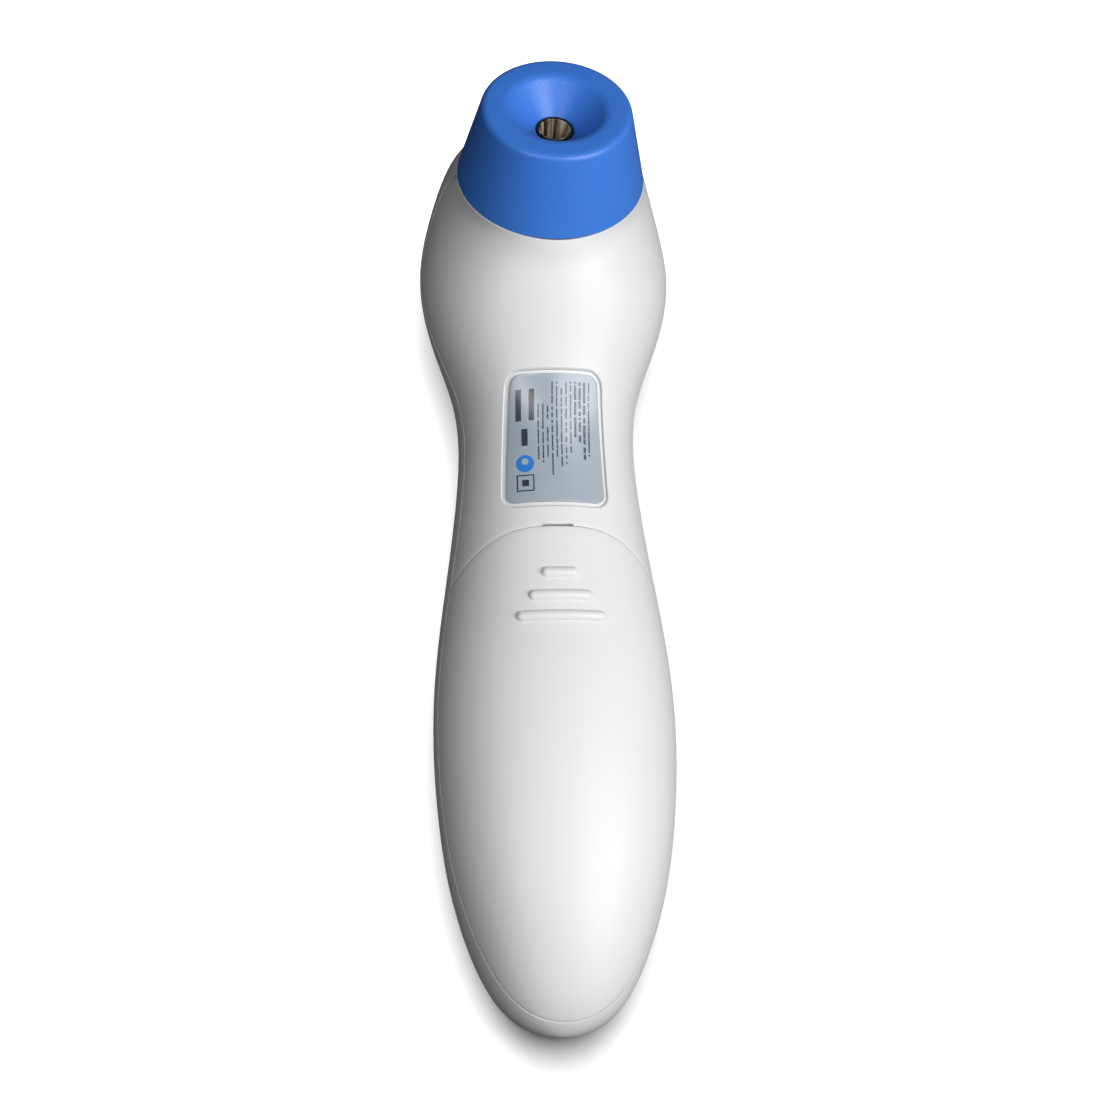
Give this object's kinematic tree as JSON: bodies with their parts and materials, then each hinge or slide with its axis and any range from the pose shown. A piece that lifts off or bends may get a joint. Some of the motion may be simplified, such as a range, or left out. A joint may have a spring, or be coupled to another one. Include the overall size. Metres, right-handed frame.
{
  "type": "infrared forehead thermometer",
  "caption": "Handheld infrared thermometer with a curved white case, a tilted blue probe cap with a dished mouth, a sliding battery door, press buttons and a display on its front face.",
  "frame": {"origin": "middle of the footprint, on the surface that the display face rests on", "axes": "+Z out of the back of the case, +Y from the tail of the handle to the probe, +X across the width"},
  "size_m": [0.041, 0.1566, 0.0486],
  "materials": {
    "white_abs": "satin",
    "blue_abs": "fine satin texture",
    "black_plastic": "matte",
    "waveguide_nickel": "polished",
    "steel": "satin",
    "silicon": "polished",
    "circuit_board": "solder mask",
    "grey_plastic": "matte",
    "button_plastic": "satin",
    "lcd_glass": "polished",
    "clear_plastic": "gloss",
    "smoked_window": "polished",
    "cell_jacket": "printed film",
    "red_lead": "matte",
    "black_lead": "matte",
    "label_film": "printed film"
  },
  "bodies": {
    "case": {"back_cover": "white_abs", "backlight": "clear_plastic", "battery_left": "cell_jacket", "battery_right": "cell_jacket", "battery_tray": "white_abs", "board_screw_left": "steel", "board_screw_right": "steel", "buzzer": "black_plastic", "case_screw_left": "steel", "case_screw_right": "steel", "clock_crystal": "steel", "contact_bridge": "waveguide_nickel", "contact_strip": "grey_plastic", "display_frame": "grey_plastic", "display_window": "smoked_window", "front_shell": "white_abs", "head_spring": "steel", "lcd_glass": "lcd_glass", "main_board": "circuit_board", "measure_switch": "steel", "memory_chip": "black_plastic", "mode_switch": "steel", "negative_contact": "waveguide_nickel", "negative_lead": "black_lead", "positive_contact": "waveguide_nickel", "positive_lead": "red_lead", "probe_cap": "blue_abs", "probe_seal_ring": "black_plastic", "processor_chip": "black_plastic", "rating_label": "label_film", "sensor_board": "circuit_board", "sensor_cable": "clear_plastic", "sensor_connector": "clear_plastic", "sensor_holder": "grey_plastic", "supply_capacitor": "black_plastic", "tail_spring": "steel", "thermopile_can": "steel", "thermopile_window": "silicon", "tray_screw_left": "steel", "tray_screw_right": "steel", "waveguide": "waveguide_nickel"},
    "battery_door": {"battery_door": "white_abs"},
    "measure_button": {"measure_button": "button_plastic", "measure_plunger": "black_plastic"},
    "mode_button": {"mode_button": "button_plastic", "mode_plunger": "black_plastic"}
  },
  "joints": [
    {"name": "door_slide", "type": "slide", "parent": "case", "child": "battery_door", "axis": [0, -1, 0], "range_m": [0, 0.084]},
    {"name": "measure_press", "type": "slide", "parent": "case", "child": "measure_button", "axis": [0, 0, 1], "range_m": [0, 0.0005], "stiffness_N_per_m": 1000, "springref_m": -0.0005},
    {"name": "mode_press", "type": "slide", "parent": "case", "child": "mode_button", "axis": [0, 0, 1], "range_m": [0, 0.0005], "stiffness_N_per_m": 1000, "springref_m": -0.0005}
  ]
}
